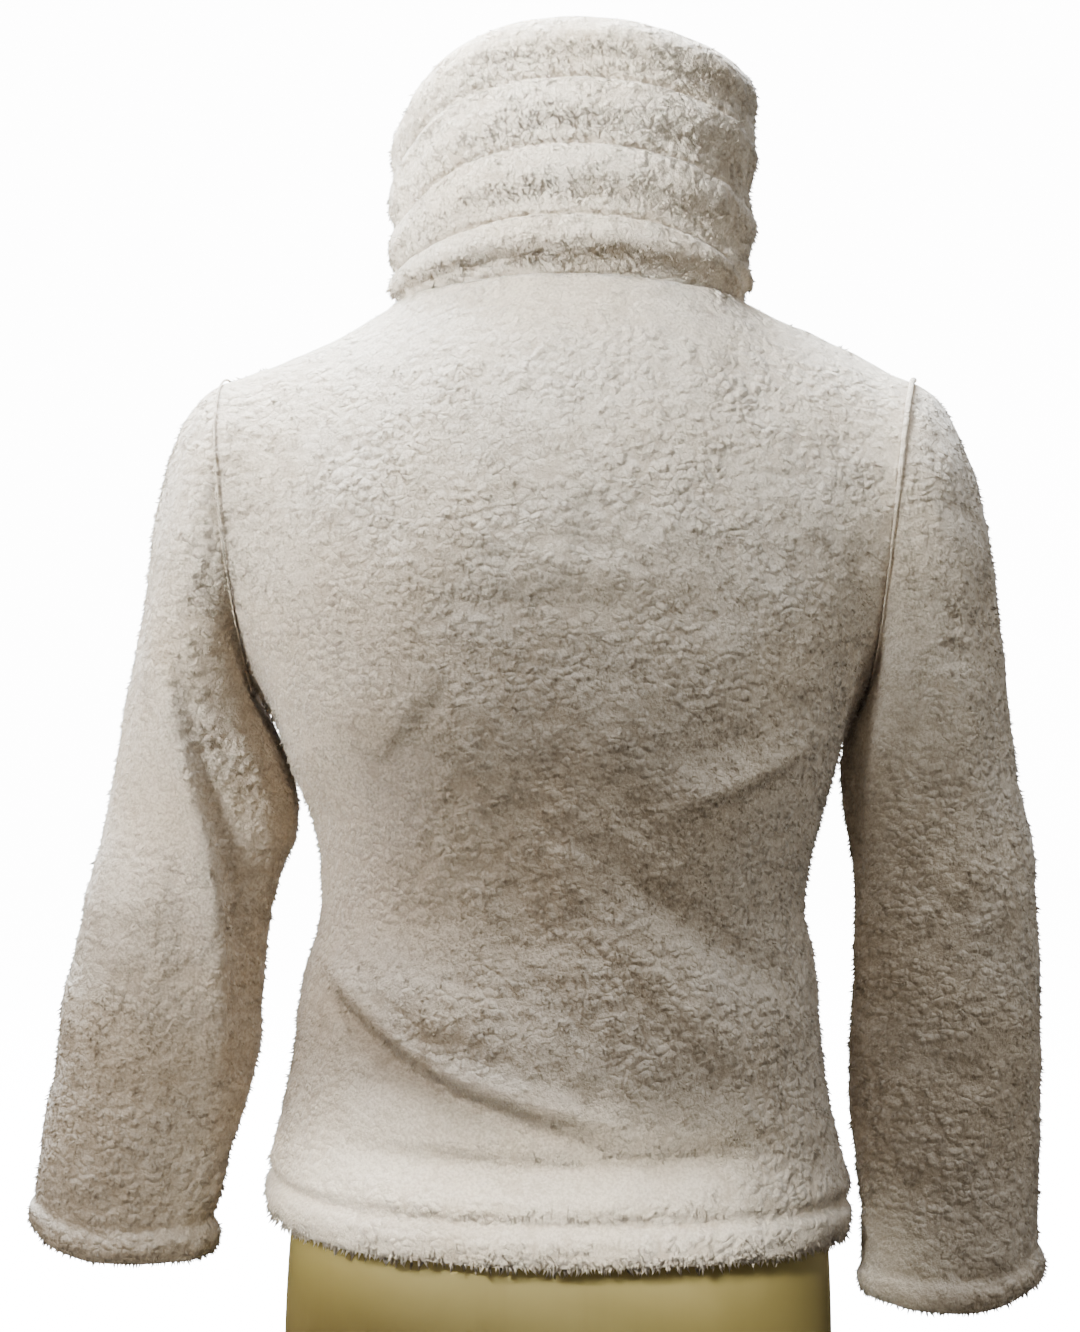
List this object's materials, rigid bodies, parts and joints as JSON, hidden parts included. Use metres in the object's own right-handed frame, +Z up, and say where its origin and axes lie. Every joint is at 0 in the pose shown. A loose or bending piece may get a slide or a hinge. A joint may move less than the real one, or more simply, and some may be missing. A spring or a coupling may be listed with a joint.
{
  "type": "fleece jacket on dress form",
  "caption": "Cream plush fleece jacket with a tall slouching funnel collar, empty hanging sleeves and a closed centre zip, worn by a limbless tan dress form with a flat base.",
  "frame": {"origin": "middle of the dress form's flat base", "axes": "+X to the wearer's left, +Y out of the wearer's back, +Z up"},
  "size_m": [0.6241, 0.2697, 0.8272],
  "materials": {
    "fleece": "plush pile",
    "form": "matte tan",
    "tape": "woven tape",
    "teeth": "moulded plastic",
    "metal": "satin"
  },
  "bodies": {
    "jacket": {"back": "fleece", "front_left": "fleece", "front_right": "fleece", "sleeve_left": "fleece", "sleeve_right": "fleece", "collar": "fleece", "zip_tape_left": "tape", "zip_tape_right": "tape", "zip_chain": "teeth", "zip_slider": "metal", "dress_form": "form"},
    "pull": {"zip_pull": "metal"}
  },
  "joints": [
    {"name": "pull_swing", "type": "hinge", "parent": "jacket", "child": "pull", "pos_m": [-0.0072, -0.07425, 0.74612], "axis": [-1, 0, 0], "range_deg": [0, 170]}
  ]
}
